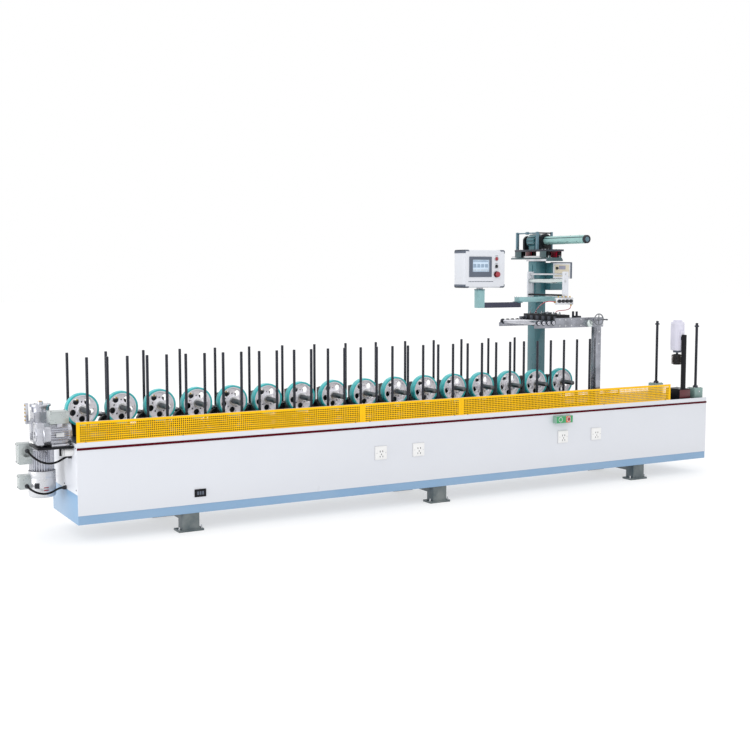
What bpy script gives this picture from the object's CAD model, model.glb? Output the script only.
# Looks of the profile wrapping machine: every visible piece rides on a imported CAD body.
import math
import random

import bmesh
import bpy
from mathutils import Matrix, Vector


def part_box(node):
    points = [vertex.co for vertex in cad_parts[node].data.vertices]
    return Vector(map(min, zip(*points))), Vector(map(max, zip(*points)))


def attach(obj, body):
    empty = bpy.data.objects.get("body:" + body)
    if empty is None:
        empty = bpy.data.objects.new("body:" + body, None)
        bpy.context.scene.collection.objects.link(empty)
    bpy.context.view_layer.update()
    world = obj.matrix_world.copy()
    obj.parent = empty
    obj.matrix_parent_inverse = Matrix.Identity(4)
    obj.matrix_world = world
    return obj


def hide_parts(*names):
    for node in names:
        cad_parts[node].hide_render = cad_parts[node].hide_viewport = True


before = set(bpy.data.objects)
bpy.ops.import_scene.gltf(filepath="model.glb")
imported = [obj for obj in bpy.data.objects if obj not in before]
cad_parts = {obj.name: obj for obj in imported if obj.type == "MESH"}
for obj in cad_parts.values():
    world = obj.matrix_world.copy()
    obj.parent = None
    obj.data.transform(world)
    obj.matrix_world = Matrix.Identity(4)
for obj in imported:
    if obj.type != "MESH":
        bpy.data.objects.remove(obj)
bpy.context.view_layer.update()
random.seed(7)

# ---------------------------------------------------------------- places, in millimetres


def corners(node):
    """Lowest and highest corner of a CAD node, in millimetres."""
    low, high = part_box(node)
    return [round(v * 1000, 2) for v in low], [round(v * 1000, 2) for v in high]


BED_HIGH = corners("rear_panel")[1]
HALF_L = BED_HIGH[0]
HALF_D = BED_HIGH[1]
INNER_D = corners("front_panel")[1][1] * -1
DECK_Z = corners("deck_plate")[1][2]
REAR_GUARD_TOP = 712
GUARD_TOP = corners("guard_panels")[1][2]
GUARD_END = corners("guard_panels")[1][0]
GUARD_JOINTS = (-680, 193)
WHEELS = 16
FIRST_LOW, FIRST_HIGH = corners("feed_wheel_01")
LAST_LOW, LAST_HIGH = corners("feed_wheel_16")
WHEEL_X0 = (FIRST_LOW[0] + FIRST_HIGH[0]) / 2
PITCH = ((LAST_LOW[0] + LAST_HIGH[0]) / 2 - WHEEL_X0) / (WHEELS - 1)
WHEEL_Z = (FIRST_LOW[2] + FIRST_HIGH[2]) / 2
DISC_R = 100
AXLE_R = 18
POST_Y = 248
GEAR_Y = 110
LINE_Z = WHEEL_Z - 50
COLUMN_LOW, COLUMN_HIGH = corners("column")
COLUMN_X = (COLUMN_LOW[0] + COLUMN_HIGH[0]) / 2
REEL_LOW, REEL_HIGH = corners("reel_shaft")
REEL_X = (REEL_LOW[0] + REEL_HIGH[0]) / 2
REEL_Z = (REEL_LOW[2] + REEL_HIGH[2]) / 2
MAIN_X, MAIN_Y = -2936, 60
AUX_Y, AUX_Z = -190, 720
FEET_X = (-2025, 0, 2025)
RAILS_X = (1325, 1441)
ARM_POST = (530, -75)
BUTTON_X = 640
BUTTON_Z, SELECTOR_Z, STOP_Z = 1879, 1820, 1756
GLUE_HEAD_TOP = 1425
ROD_Z = 1362
GATE_X = 2745

# ---------------------------------------------------------------- materials

MATERIALS = {}
ROUGH_VARY = 0.08
DUST_COLOR = (0.42, 0.39, 0.34, 1)


def nodes_of(mat):
    mat.use_nodes = True
    tree = mat.node_tree
    return tree, tree.nodes, tree.links, tree.nodes["Principled BSDF"]


def noise(tree, scale, detail=4.0, stretch=(1, 1, 1)):
    """A noise texture in object space, stretched by the mapping."""
    coords = tree.nodes.new("ShaderNodeTexCoord")
    mapping = tree.nodes.new("ShaderNodeMapping")
    mapping.inputs["Scale"].default_value = stretch
    tex = tree.nodes.new("ShaderNodeTexNoise")
    tex.inputs["Scale"].default_value = scale
    tex.inputs["Detail"].default_value = detail
    tex.inputs["Roughness"].default_value = 0.55
    tree.links.new(coords.outputs["Object"], mapping.inputs["Vector"])
    tree.links.new(mapping.outputs["Vector"], tex.inputs["Vector"])
    return tex.outputs["Fac"]


def spread(tree, source, low, high, from_low=0.3, from_high=0.7):
    """Maps a noise value onto low..high."""
    span = tree.nodes.new("ShaderNodeMapRange")
    span.inputs["From Min"].default_value = from_low
    span.inputs["From Max"].default_value = from_high
    span.inputs["To Min"].default_value = low
    span.inputs["To Max"].default_value = high
    tree.links.new(source, span.inputs["Value"])
    return span.outputs["Result"]


def tint(tree, factor, first, second):
    """Mixes two colours by a factor."""
    mix = tree.nodes.new("ShaderNodeMix")
    mix.data_type = "RGBA"
    mix.inputs["A"].default_value = (*first, 1)
    mix.inputs["B"].default_value = (*second, 1)
    tree.links.new(factor, mix.inputs["Factor"])
    return mix.outputs["Result"]


def shade(color, amount):
    return tuple(max(0.0, min(1.0, c * amount)) for c in color)


def finish(name, color, rough=0.4, metal=0.0, vary=0.06, patch=3.0, grain=400.0, bump=0.06,
           stretch=(1, 1, 1), coat=0.0, dust=0.0, sheen=0.0, mirror=0.5):
    """Procedural finish: patchy colour, worn gloss and a fine surface grain."""
    if name in MATERIALS:
        return MATERIALS[name]
    mat = bpy.data.materials.new(name)
    tree, nodes, links, bsdf = nodes_of(mat)
    patches = noise(tree, patch, 5.0)
    fine = noise(tree, grain, 3.0, stretch)
    factor = spread(tree, patches, 0.0, 1.0)
    base = tint(tree, factor, shade(color, 1 - vary), shade(color, 1 + vary))
    if dust:
        coords = nodes.new("ShaderNodeTexCoord")
        split = nodes.new("ShaderNodeSeparateXYZ")
        links.new(coords.outputs["Object"], split.inputs["Vector"])
        low = spread(tree, split.outputs["Z"], dust, 0.0, 0.12, 0.34)
        times = nodes.new("ShaderNodeMath")
        times.operation = "MULTIPLY"
        links.new(low, times.inputs[0])
        links.new(factor, times.inputs[1])
        mix = nodes.new("ShaderNodeMix")
        mix.data_type = "RGBA"
        links.new(times.outputs[0], mix.inputs["Factor"])
        links.new(base, mix.inputs["A"])
        mix.inputs["B"].default_value = DUST_COLOR
        base = mix.outputs["Result"]
    links.new(base, bsdf.inputs["Base Color"])
    gloss = spread(tree, patches, max(0.03, rough - ROUGH_VARY), min(1.0, rough + ROUGH_VARY))
    links.new(gloss, bsdf.inputs["Roughness"])
    bsdf.inputs["Metallic"].default_value = metal
    bsdf.inputs["Coat Weight"].default_value = coat
    bsdf.inputs["Specular IOR Level"].default_value = mirror
    if sheen:
        bsdf.inputs["Sheen Weight"].default_value = sheen
    dent = nodes.new("ShaderNodeBump")
    dent.inputs["Strength"].default_value = bump
    dent.inputs["Distance"].default_value = 0.0006
    links.new(fine, dent.inputs["Height"])
    links.new(dent.outputs["Normal"], bsdf.inputs["Normal"])
    MATERIALS[name] = mat
    return mat


def white_sheet():
    return finish("white_sheet", (0.665, 0.685, 0.735), 0.34, coat=0.2, vary=0.018, patch=1.3,
                  grain=260, bump=0.05, dust=0.10)


def blue_sheet():
    return finish("blue_sheet", (0.205, 0.36, 0.555), 0.38, coat=0.15, vary=0.05, patch=2.0,
                  grain=300, bump=0.06, dust=0.16)


def stripe_red():
    return finish("stripe_red", (0.085, 0.001, 0.008), 0.6, mirror=0.05, vary=0.1, patch=4)


def guard_yellow():
    return finish("guard_yellow", (0.93, 0.52, 0.002), 0.55, mirror=0.2, vary=0.06, patch=5,
                  grain=350, bump=0.08)


def guard_edge():
    return finish("guard_edge", (0.16, 0.06, 0.004), 0.6, vary=0.2, patch=9)


def guard_lip():
    return finish("guard_lip", (0.80, 0.62, 0.50), 0.4, vary=0.05, patch=5)


def station_case():
    return finish("station_case", (0.24, 0.42, 0.33), 0.4, vary=0.06, patch=8, bump=0.15)


def terminal_green():
    return finish("terminal_green", (0.44, 0.48, 0.48), 0.3, 0.4, vary=0.1, patch=14, bump=0.12)


def brushed_silver():
    return finish("brushed_silver", (0.58, 0.59, 0.62), 0.2, 0.95, vary=0.2, patch=10, grain=260,
                  bump=0.08)


def post_steel():
    return finish("post_steel", (0.020, 0.022, 0.032), 0.22, 0.45, mirror=0.4, vary=0.25, patch=12,
                  grain=240, stretch=(1, 1, 0.04), bump=0.08)


def deck_paint():
    return finish("deck_paint", (0.55, 0.57, 0.62), 0.5, vary=0.08, patch=4, bump=0.1)


def deck_steel():
    return finish("deck_steel", (0.020, 0.023, 0.036), 0.4, 0.1, mirror=0.3, vary=0.3, patch=9,
                  bump=0.1)


def dark_steel():
    return finish("dark_steel", (0.055, 0.06, 0.075), 0.3, 0.7, mirror=0.4, vary=0.25, patch=9,
                  grain=160, stretch=(1, 1, 0.05), bump=0.08)


def bright_steel():
    return finish("bright_steel", (0.60, 0.61, 0.63), 0.26, 1.0, vary=0.08, patch=12, grain=220,
                  stretch=(0.04, 1, 1), bump=0.08)


def turned_steel():
    return finish("turned_steel", (0.55, 0.56, 0.58), 0.22, 1.0, vary=0.1, patch=14, grain=300,
                  stretch=(1, 0.05, 1), bump=0.1)


def axle_steel():
    return finish("axle_steel", (0.13, 0.14, 0.15), 0.34, 0.9, vary=0.2, patch=18, grain=260,
                  stretch=(1, 0.06, 1), bump=0.1)


def cast_black():
    return finish("cast_black", (0.006, 0.008, 0.011), 0.42, mirror=0.25, vary=0.35, patch=14,
                  grain=110, bump=0.35)


def silver_paint():
    return finish("silver_paint", (0.50, 0.51, 0.56), 0.25, 0.8, vary=0.2, patch=12, grain=180,
                  bump=0.2, coat=0.1)


def cowl_paint():
    return finish("cowl_paint", (0.63, 0.64, 0.67), 0.3, 0.45, vary=0.05, patch=8, grain=260,
                  bump=0.08, coat=0.2)


def wheel_cast():
    return finish("wheel_cast", (0.88, 0.87, 0.93), 0.36, 0.08, vary=0.06, patch=22, grain=240,
                  bump=0.16, coat=0.1)


def tyre_pu():
    return finish("tyre_pu", (0.04, 0.50, 0.53), 0.34, vary=0.12, patch=20, grain=420, bump=0.12,
                  coat=0.15)


def foot_paint():
    return finish("foot_paint", (0.055, 0.085, 0.10), 0.36, 0.1, vary=0.25, patch=10, bump=0.12,
                  dust=0.25)


def teal_paint():
    return finish("teal_paint", (0.042, 0.150, 0.178), 0.28, vary=0.16, patch=5, coat=0.25,
                  bump=0.07)


def pale_teal():
    return finish("pale_teal", (0.24, 0.43, 0.45), 0.28, 0.15, vary=0.12, patch=6, coat=0.2,
                  bump=0.07)


def navy_paint():
    return finish("navy_paint", (0.008, 0.011, 0.045), 0.33, vary=0.2, patch=7, coat=0.3)


def black_paint():
    return finish("black_paint", (0.005, 0.005, 0.008), 0.4, mirror=0.2, vary=0.3, patch=9,
                  bump=0.1)


def glue_paint():
    return finish("glue_paint", (0.30, 0.31, 0.35), 0.25, 0.85, vary=0.25, patch=10, bump=0.12)


def gate_paint():
    return finish("gate_paint", (0.20, 0.31, 0.29), 0.4, vary=0.1, patch=8, coat=0.15, bump=0.1)


def block_red():
    return finish("block_red", (0.40, 0.008, 0.035), 0.35, vary=0.12, patch=16, coat=0.25)


def white_moulded():
    return finish("white_moulded", (0.80, 0.80, 0.80), 0.4, vary=0.02, patch=6, grain=520,
                  bump=0.18)


def grey_moulded():
    return finish("grey_moulded", (0.46, 0.47, 0.48), 0.45, vary=0.03, patch=6, grain=520,
                  bump=0.2)


def dark_moulded():
    return finish("dark_moulded", (0.022, 0.024, 0.030), 0.4, mirror=0.3, vary=0.1, patch=12,
                  grain=520, bump=0.2)


def button_red():
    return finish("button_red", (0.30, 0.005, 0.018), 0.25, vary=0.06, patch=30, coat=0.5,
                  bump=0.03)


def button_green():
    return finish("button_green", (0.012, 0.30, 0.09), 0.28, vary=0.06, patch=30, coat=0.4)


def button_orange():
    return finish("button_orange", (0.66, 0.11, 0.012), 0.28, vary=0.06, patch=30, coat=0.4)


def rubber_black():
    return finish("rubber_black", (0.004, 0.004, 0.005), 0.5, mirror=0.15, vary=0.2, patch=30,
                  grain=600, bump=0.15)


def hose_red():
    return finish("hose_red", (0.52, 0.022, 0.05), 0.2, vary=0.08, patch=25, coat=0.6, bump=0.03)


def bristle():
    return finish("bristle", (0.055, 0.042, 0.034), 0.7, vary=0.35, patch=60, sheen=0.3)


def lavender_paint():
    return finish("lavender_paint", (0.70, 0.69, 0.80), 0.35, vary=0.04, patch=8, coat=0.2)


def beige_plate():
    return finish("beige_plate", (0.64, 0.58, 0.45), 0.4, vary=0.05, patch=14, bump=0.05)


def brass_plain():
    return finish("brass_plain", (0.55, 0.36, 0.10), 0.3, 1.0, vary=0.15, patch=20)


def slate_moulded():
    return finish("slate_moulded", (0.105, 0.125, 0.165), 0.4, mirror=0.3, vary=0.05, patch=8,
                  grain=520, bump=0.15)


def dark_teal():
    return finish("dark_teal", (0.030, 0.075, 0.085), 0.36, vary=0.18, patch=10, coat=0.15,
                  bump=0.12)


def shaft_teal():
    return finish("shaft_teal", (0.30, 0.52, 0.50), 0.3, 0.25, vary=0.08, patch=14, coat=0.2,
                  bump=0.06)


def arm_grey():
    return finish("arm_grey", (0.11, 0.20, 0.25), 0.35, 0.2, vary=0.1, patch=10, bump=0.08)


def roller_steel():
    return finish("roller_steel", (0.62, 0.68, 0.67), 0.18, 0.95, vary=0.06, patch=12, grain=300,
                  stretch=(1, 0.04, 1), bump=0.06)


def chrome():
    return finish("chrome", (0.52, 0.53, 0.58), 0.14, 1.0, vary=0.12, patch=12, bump=0.02)


def brushed_dark():
    return finish("brushed_dark", (0.22, 0.23, 0.25), 0.28, 0.9, vary=0.15, patch=14, grain=280,
                  bump=0.08)


def guide_black():
    return finish("guide_black", (0.020, 0.022, 0.032), 0.34, 0.2, mirror=0.3, vary=0.2, patch=14,
                  bump=0.12)


def maroon_paint():
    return finish("maroon_paint", (0.10, 0.010, 0.016), 0.35, vary=0.15, patch=10, coat=0.2)


def display_glass():
    return plain_emit("display_glass", (0.26, 0.26, 0.34), 0.15)


def lit_surface(name, low, high, strength, scale, detail=4.0, stretch=(1, 1, 1)):
    """Glowing surface that drifts between two tones."""
    if name in MATERIALS:
        return MATERIALS[name]
    mat = bpy.data.materials.new(name)
    tree, _, links, bsdf = nodes_of(mat)
    tone = tint(tree, spread(tree, noise(tree, scale, detail, stretch), 0, 1), low, high)
    for socket in ("Base Color", "Emission Color"):
        links.new(tone, bsdf.inputs[socket])
    bsdf.inputs["Emission Strength"].default_value = strength
    MATERIALS[name] = mat
    return mat


def screen_glass():
    """Lit screen: a pale blue picture with soft bands under clear glass."""
    mat = lit_surface("screen_glass", (0.36, 0.47, 0.60), (0.56, 0.66, 0.76), 0.25, 9.0, 2.0,
                      (1, 1, 4))
    mat.node_tree.nodes["Principled BSDF"].inputs["Roughness"].default_value = 0.12
    return mat


def plain_emit(name, color, strength):
    """Small lit mark, such as a screen tile."""
    return lit_surface(name, shade(color, 0.9), color, strength, 60.0)


# ---------------------------------------------------------------- mesh helpers

SMOOTH_ANGLE = math.radians(38)
TURNS = {"Z": Matrix.Identity(3),
         "X": Matrix(((0, 0, 1), (0, 1, 0), (-1, 0, 0))),
         "Y": Matrix(((1, 0, 0), (0, 0, 1), (0, -1, 0)))}


class Shape:
    """Collects rounded boxes, turned forms and bars in one mesh, in millimetres."""

    def __init__(self):
        self.bm = bmesh.new()

    def box(self, low, high, bevel=1.5, steps=2):
        size = [b - a for a, b in zip(low, high)]
        mid = [(a + b) / 2 for a, b in zip(low, high)]
        part = bmesh.ops.create_cube(self.bm, size=1)["verts"]
        bmesh.ops.scale(self.bm, vec=size, verts=part)
        bmesh.ops.translate(self.bm, vec=mid, verts=part)
        width = min(bevel, 0.45 * min(size))
        edges = list({e for v in part for e in v.link_edges})
        bmesh.ops.bevel(self.bm, geom=edges, offset=width, segments=steps, profile=0.5,
                        affect="EDGES", clamp_overlap=True)
        return self

    def lathe(self, profile, origin=(0, 0, 0), axis="Z", segs=40):
        """Turns (radius, height) pairs about an axis through origin. A radius of 0 closes it."""
        base = Vector(origin)
        rings = []
        for r, h in profile:
            count = 1 if r < 1e-6 else segs
            ring = []
            for k in range(count):
                a = 2 * math.pi * (k + 0.5) / segs
                spot = Vector((r * math.cos(a), r * math.sin(a), h))
                ring.append(self.bm.verts.new(base + TURNS[axis] @ spot))
            rings.append(ring)
        for a, b in zip(rings, rings[1:]):
            for k in range(segs):
                m = (k + 1) % segs
                if len(a) == 1 and len(b) == 1:
                    break
                if len(a) == 1:
                    self.bm.faces.new((a[0], b[k], b[m]))
                elif len(b) == 1:
                    self.bm.faces.new((a[k], b[0], a[m]))
                else:
                    self.bm.faces.new((a[k], b[k], b[m], a[m]))
        return self

    def spot(self, axis, start, at):
        """The point at start along the axis, with the two other coordinates in at."""
        return {"X": (start, at[0], at[1]), "Y": (at[0], start, at[1]),
                "Z": (at[0], at[1], start)}[axis]

    def bar(self, axis, start, end, at, r, chamfer=1.0, segs=32):
        """Round bar along an axis, with chamfered ends."""
        h = end - start
        c = min(chamfer, 0.45 * r, 0.45 * h)
        profile = [(0, 0), (r - c, 0), (r, c), (r, h - c), (r - c, h), (0, h)]
        return self.lathe(profile, self.spot(axis, start, at), axis, segs)

    def ring(self, axis, start, end, at, r_in, r_out, chamfer=0.8, segs=40):
        """Open sleeve along an axis."""
        h = end - start
        c = min(chamfer, 0.4 * (r_out - r_in), 0.4 * h)
        profile = [(r_in, c), (r_in + c, 0), (r_out - c, 0), (r_out, c), (r_out, h - c),
                   (r_out - c, h), (r_in + c, h), (r_in, h - c), (r_in, c)]
        return self.lathe(profile, self.spot(axis, start, at), axis, segs)

    def bolt(self, axis, at, size=8, sign=1):
        """Hexagon head with a washer, standing out from a face along the axis."""
        w = 0.16 * size
        h = 0.75 * size
        washer = [(0, 0), (1.1 * size, 0), (1.1 * size, w), (0, w)]
        head = [(0, w), (0.9 * size, w), (0.9 * size, 0.86 * h), (0.76 * size, h), (0, h)]
        self.lathe([(r, sign * v) for r, v in washer], at, axis, 16)
        return self.lathe([(r, sign * v) for r, v in head], at, axis, 6)

    def bolt_circle(self, axis, start, at, r, size, count=4, first=45, sign=1):
        """Bolts evenly round a centre; first is the first one's angle in degrees."""
        for k in range(count):
            t = math.radians(first + 360 / count * k)
            centre = (at[0] + r * math.cos(t), at[1] + r * math.sin(t))
            self.bolt(axis, self.spot(axis, start, centre), size, sign)

    def bolt_grid(self, axis, start, first, second, size, sign=1):
        """A bolt at each pair of values of the two other coordinates."""
        for a in first:
            for b in second:
                self.bolt(axis, self.spot(axis, start, (a, b)), size, sign)

    def screw_grid(self, axis, start, first, second, r, sign=1):
        """A screw head at each pair of values of the two other coordinates."""
        for a in first:
            for b in second:
                self.screw(axis, self.spot(axis, start, (a, b)), r, sign)

    def spokes(self, axis, centre, outline, low, high, count, first=0):
        """Copies of a prism, its outline turned evenly round a centre."""
        for k in range(count):
            t = math.radians(first + 360 / count * k)
            c, s = math.cos(t), math.sin(t)
            self.prism([(centre[0] + a * c - b * s, centre[1] + a * s + b * c)
                        for a, b in outline], low, high, axis)

    def screw(self, axis, at, r=4, sign=1):
        """Domed screw head with a socket."""
        head = [(0, 0), (r, 0), (r, 0.25 * r), (0.8 * r, 0.55 * r), (0.45 * r, 0.66 * r),
                (0.42 * r, 0.3 * r), (0, 0.3 * r)]
        return self.lathe([(a, sign * b) for a, b in head], at, axis, 14)

    def prism(self, points, low, high, axis="Z"):
        """Straight prism along an axis on a closed outline of the two other coordinates."""
        def place(p, w):
            return {"Z": (p[0], p[1], w), "Y": (p[0], w, p[1]), "X": (w, p[0], p[1])}[axis]
        bottom = [self.bm.verts.new(place(p, low)) for p in points]
        top = [self.bm.verts.new(place(p, high)) for p in points]
        self.bm.faces.new(bottom)
        self.bm.faces.new(list(reversed(top)))
        for k in range(len(points)):
            m = (k + 1) % len(points)
            self.bm.faces.new((bottom[k], top[k], top[m], bottom[m]))
        return self

    def mesh(self, name):
        bmesh.ops.recalc_face_normals(self.bm, faces=self.bm.faces)
        bmesh.ops.scale(self.bm, vec=(0.001, 0.001, 0.001), verts=self.bm.verts)
        data = bpy.data.meshes.new(name)
        self.bm.to_mesh(data)
        self.bm.free()
        soften_shading(data)
        return data


def soften_shading(data):
    """Smooth shading with the sharp edges kept sharp."""
    bm = bmesh.new()
    bm.from_mesh(data)
    for face in bm.faces:
        face.smooth = True
    for edge in bm.edges:
        edge.smooth = not (len(edge.link_faces) == 2 and edge.calc_face_angle(0) > SMOOTH_ANGLE)
    bm.to_mesh(data)
    bm.free()


def merge(target, part):
    """Adds one shape's mesh to another's."""
    data = bpy.data.meshes.new("merge")
    part.bm.to_mesh(data)
    target.bm.from_mesh(data)
    part.bm.free()
    bpy.data.meshes.remove(data)


def arc(cx, cy, r, a0, a1, steps=8):
    """Points on a circular arc, in degrees."""
    return [(cx + r * math.cos(math.radians(a0 + (a1 - a0) * k / steps)),
             cy + r * math.sin(math.radians(a0 + (a1 - a0) * k / steps)))
            for k in range(steps + 1)]


def put(name, data, mat, body="bed", replaces=(), at=(0, 0, 0)):
    """Places a mesh as a piece on a body, with its finish and the CAD nodes it stands for."""
    obj = bpy.data.objects.new(name, data)
    bpy.context.scene.collection.objects.link(obj)
    obj.location = [v * 0.001 for v in at]
    if mat and not data.materials:
        data.materials.append(mat)
    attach(obj, body)
    if replaces:
        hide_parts(*replaces)
    return obj


def piece(name, shape, mat, body="bed", replaces=()):
    return put(name, shape.mesh(name), mat, body, replaces)


def clean_copy(node):
    """A CAD node's mesh as a bmesh, welded and with its flat faces joined."""
    bm = bmesh.new()
    bm.from_mesh(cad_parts[node].data)
    bmesh.ops.remove_doubles(bm, verts=bm.verts, dist=1e-5)
    bmesh.ops.dissolve_limit(bm, angle_limit=math.radians(0.8), verts=bm.verts, edges=bm.edges)
    return bm


def islands(bm):
    """Splits a bmesh into its separate solids."""
    bm.verts.ensure_lookup_table()
    seen = set()
    parts = []
    for start in bm.verts:
        if start.index in seen:
            continue
        stack, group = [start], set()
        seen.add(start.index)
        while stack:
            vert = stack.pop()
            group.add(vert.index)
            for edge in vert.link_edges:
                other = edge.other_vert(vert)
                if other.index not in seen:
                    seen.add(other.index)
                    stack.append(other)
        part = bm.copy()
        part.verts.ensure_lookup_table()
        away = [v for v in part.verts if v.index not in group]
        bmesh.ops.delete(part, geom=away, context="VERTS")
        parts.append(part)
    bm.free()
    return parts


def rounded(bm, name, width):
    """Turns a bmesh into a mesh with its sharp edges rounded by width millimetres."""
    data = bpy.data.meshes.new(name)
    bm.to_mesh(data)
    bm.free()
    holder = bpy.data.objects.new(name + "_holder", data)
    bpy.context.scene.collection.objects.link(holder)
    bevel = holder.modifiers.new("edges", "BEVEL")
    bevel.width = width * 0.001
    bevel.segments = 2
    bevel.limit_method = "ANGLE"
    bevel.angle_limit = math.radians(40)
    depsgraph = bpy.context.evaluated_depsgraph_get()
    made = bpy.data.meshes.new_from_object(holder.evaluated_get(depsgraph))
    made.name = name
    bpy.data.objects.remove(holder)
    bpy.data.meshes.remove(data)
    made.materials.clear()
    soften_shading(made)
    return made


def paint(data, mats, zones):
    """Gives faces a finish by place: each zone is (index, low, high) in millimetres."""
    for mat in mats:
        data.materials.append(mat)
    for poly in data.polygons:
        c = [v * 1000 for v in poly.center]
        for index, low, high in zones:
            if all(a - 0.5 <= v <= b + 0.5 for v, a, b in zip(c, low, high)):
                poly.material_index = index
                break


def softened(node, name, mat, width=1.5, body="bed", zones=(), extra=()):
    """Copy of a CAD node with its edges rounded, standing in for the node."""
    data = rounded(clean_copy(node), name, width)
    paint(data, [mat, *extra], zones)
    return put(name, data, mat, body, (node,))


# ---------------------------------------------------------------- camera and cords


def make_camera():
    data = bpy.data.cameras.new("front_left_camera")
    data.lens = 55.2
    data.sensor_width = 36
    data.clip_end = 100
    camera = bpy.data.objects.new("front_left_camera", data)
    bpy.context.scene.collection.objects.link(camera)
    camera.location = (-4.7536, -7.7105, 1.775)
    camera.rotation_euler = (math.radians(84.88), 0, math.radians(-29.5))
    bpy.context.scene.camera = camera


# Routes as in the CAD source, in metres, from gland to gland and from manifold to glue head
CABLE_A = [(-3.040, -.005, .590), (-3.040, -.018, .589), (-3.038, -.038, .583),
           (-3.031, -.062, .571), (-3.019, -.086, .557), (-3.002, -.110, .543),
           (-2.982, -.131, .532), (-2.959, -.149, .525), (-2.935, -.163, .523),
           (-2.911, -.174, .526), (-2.888, -.182, .534), (-2.868, -.187, .544),
           (-2.850, -.189, .554), (-2.835, -.190, .561), (-2.822, -.190, .564)]
CABLE_B = [(-3.045, .005, .352), (-3.045, -.008, .351), (-3.042, -.027, .346),
           (-3.032, -.046, .337), (-3.017, -.062, .327), (-2.998, -.073, .318),
           (-2.976, -.079, .312), (-2.952, -.081, .309), (-2.928, -.078, .310),
           (-2.905, -.071, .314), (-2.884, -.062, .320), (-2.866, -.053, .326),
           (-2.850, -.046, .330), (-2.836, -.041, .332), (-2.822, -.040, .332)]
HOSE_A = [(1.160, -.249, 1.530), (1.150, -.249, 1.531), (1.136, -.244, 1.534),
          (1.122, -.230, 1.536), (1.112, -.208, 1.534), (1.108, -.180, 1.528),
          (1.110, -.148, 1.518), (1.118, -.112, 1.505), (1.130, -.076, 1.490),
          (1.146, -.040, 1.476), (1.164, -.004, 1.465), (1.180, .028, 1.456),
          (1.192, .048, 1.449), (1.198, .057, 1.443), (1.200, .060, 1.437)]
HOSE_B = [(1.322, -.249, 1.508), (1.322, -.249, 1.498), (1.326, -.240, 1.486),
          (1.330, -.222, 1.474), (1.330, -.200, 1.466), (1.326, -.180, 1.461),
          (1.316, -.160, 1.458), (1.302, -.142, 1.456), (1.288, -.130, 1.453),
          (1.276, -.123, 1.448), (1.269, -.120, 1.442), (1.268, -.120, 1.437)]


def free_cord(name, route, radius, mat, node):
    """A hanging cable or hose on a smooth curve through its route points."""
    data = bpy.data.curves.new(name, "CURVE")
    data.dimensions = "3D"
    data.bevel_depth = radius
    data.bevel_resolution = 5
    data.resolution_u = 6
    spline = data.splines.new("BEZIER")
    spline.bezier_points.add(len(route) - 1)
    for point, place in zip(spline.bezier_points, route):
        point.co = place
        point.handle_left_type = "AUTO"
        point.handle_right_type = "AUTO"
    data.materials.append(mat)
    obj = bpy.data.objects.new(name, data)
    bpy.context.scene.collection.objects.link(obj)
    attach(obj, "bed")
    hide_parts(node)


make_camera()
free_cord("motor_cable_upper", CABLE_A, 0.007, rubber_black(), "motor_cables")
free_cord("motor_cable_lower", CABLE_B, 0.007, rubber_black(), "motor_cables")
free_cord("air_hose_left", HOSE_A, 0.0032, hose_red(), "air_hoses")
free_cord("air_hose_right", HOSE_B, 0.0032, hose_red(), "air_hoses")


# ---------------------------------------------------------------- cabinet


def cabinet():
    """Plinth, feet, deck and the plain covers of the bed, straight from their CAD nodes."""
    softened("base_frame", "plinth_frame", blue_sheet(), 3)
    softened("feet", "machine_feet", foot_paint(), 1.5)
    softened("deck_plate", "deck", deck_paint(), 1.5,
             zones=((1, (-HALF_L, -INNER_D, DECK_Z - 1), (GUARD_END, INNER_D, DECK_Z + 1)),),
             extra=(deck_steel(),))
    softened("front_panel", "front_cover", white_sheet(), 1.2)
    softened("stripe_strip", "red_stripe", stripe_red(), 1)
    softened("end_panels", "end_covers", white_sheet(), 1.2)


def rear_covers():
    """Rear cover in four lengths with a thin gap between, and quarter-turn locks."""
    low, high = corners("rear_panel")
    count, gap = 4, 2
    step = (high[0] - low[0]) / count
    sheets, locks = Shape(), Shape()
    for i in range(count):
        x0 = low[0] + i * step
        x1 = x0 + step
        sheets.box((x0 + gap / 2 * (i > 0), low[1], low[2]),
                   (x1 - gap / 2 * (i < count - 1), high[1], high[2]), 1.2)
        for x in (x0 + 60, (x0 + x1) / 2, x1 - 60):
            for z in (low[2] + 40, high[2] - 60):
                locks.lathe([(0, 0), (13, 0), (13, 2), (11, 3), (4, 3), (4, 1.5), (0, 1.5)],
                            (x, high[1], z), "Y", 24)
    piece("rear_covers", sheets, white_sheet(), replaces=("rear_panel",))
    piece("rear_cover_locks", locks, dark_steel())


def end_cover_screws():
    """Six screw heads in each end cover."""
    screws = Shape()
    low, high = corners("end_panels")
    for x, sign in ((low[0], -1), (high[0], 1)):
        screws.screw_grid("X", x, (low[1] + 30, 0, high[1] - 30), (low[2] + 30, high[2] - 30), 5,
                          sign)
    piece("end_cover_screws", screws, dark_steel())


def levelling_bolts():
    """Jacking screws with their lock nuts, two at each leg of the feet."""
    bolts = Shape()
    flange_top = 15
    for foot_x in FEET_X:
        for y in (-312, 312):
            for x in (foot_x - 80, foot_x + 80):
                bolts.bar("Z", flange_top, flange_top + 21, (x, y), 5, 1, 16)
                bolts.bolt("Z", (x, y, flange_top), 9)
    piece("levelling_bolts", bolts, bright_steel())


# ---------------------------------------------------------------- perforated guards

HOLE_PITCH = 14.6
HOLE_R = 5.3
GUARD_T = 2.5
SOLID_EDGE = 22
OCTAGON = [math.radians(22.5 + 45 * k) for k in range(8)]


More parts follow.
